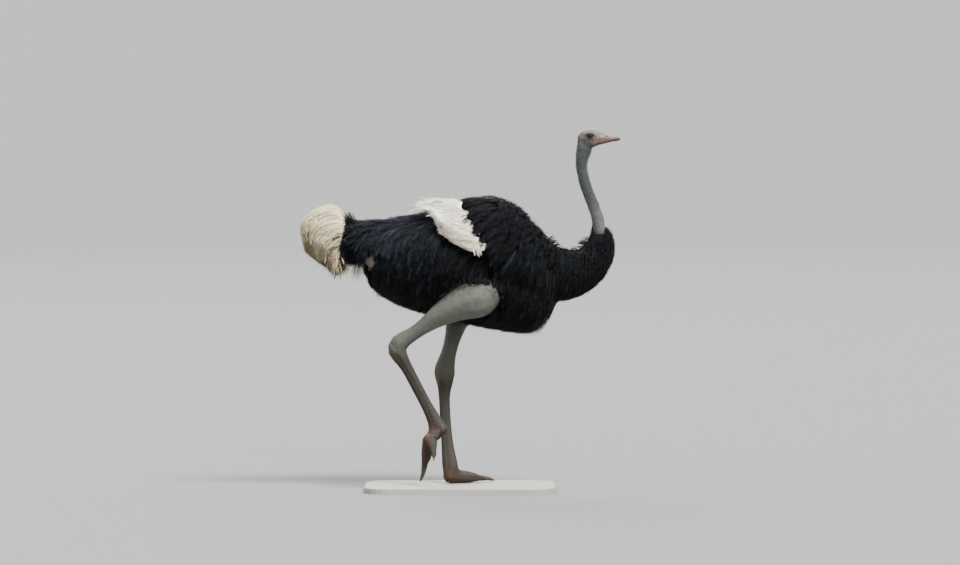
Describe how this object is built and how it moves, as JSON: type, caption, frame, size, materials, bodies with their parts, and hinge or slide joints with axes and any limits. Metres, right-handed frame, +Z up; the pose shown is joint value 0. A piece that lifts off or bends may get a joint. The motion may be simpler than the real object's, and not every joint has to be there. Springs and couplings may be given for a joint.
{
  "type": "ostrich, life-size still model",
  "caption": "Life-size still model of a male Somali ostrich walking, with one foot lifted, on a plain low display base.",
  "frame": {"origin": "centre of the display base's flat underside", "axes": "+X forward, the way the bird walks and looks; +Y to the bird's left; +Z up"},
  "size_m": [1.6066, 0.58, 1.8311],
  "materials": {
    "black_plumage": "soft black feathers with a faint blue sheen",
    "white_plumage": "loose white to cream plumes",
    "bare_skin": "blue-grey bare skin with fine creases and sparse bristles",
    "scaled_leg": "grey-brown scaled skin with broad reddish scutes in front",
    "bill_horn": "satin horn, pinkish, with a dark tip",
    "claw_horn": "worn dark horn",
    "eye": "wet and glossy, dark brown",
    "display_base": "plain board painted pale grey"
  },
  "bodies": {
    "root": {"head": "bare_skin", "neck": "bare_skin", "neck_ruff": "black_plumage", "bill_upper": "bill_horn", "bill_lower": "bill_horn", "eye_left": "eye", "eye_right": "eye", "trunk": "black_plumage", "tail": "black_plumage", "tail_plumes": "white_plumage", "wing_left": "black_plumage", "wing_right": "black_plumage", "wing_plumes_left": "white_plumage", "wing_plumes_right": "white_plumage", "thigh_left": "bare_skin", "thigh_right": "bare_skin", "shank_left": "scaled_leg", "shank_right": "scaled_leg", "toe_inner_left": "scaled_leg", "toe_inner_right": "scaled_leg", "toe_outer_left": "scaled_leg", "toe_outer_right": "scaled_leg", "claw_inner_left": "claw_horn", "claw_inner_right": "claw_horn", "claw_outer_left": "claw_horn", "claw_outer_right": "claw_horn", "stand_base": "display_base"}
  },
  "joints": []
}
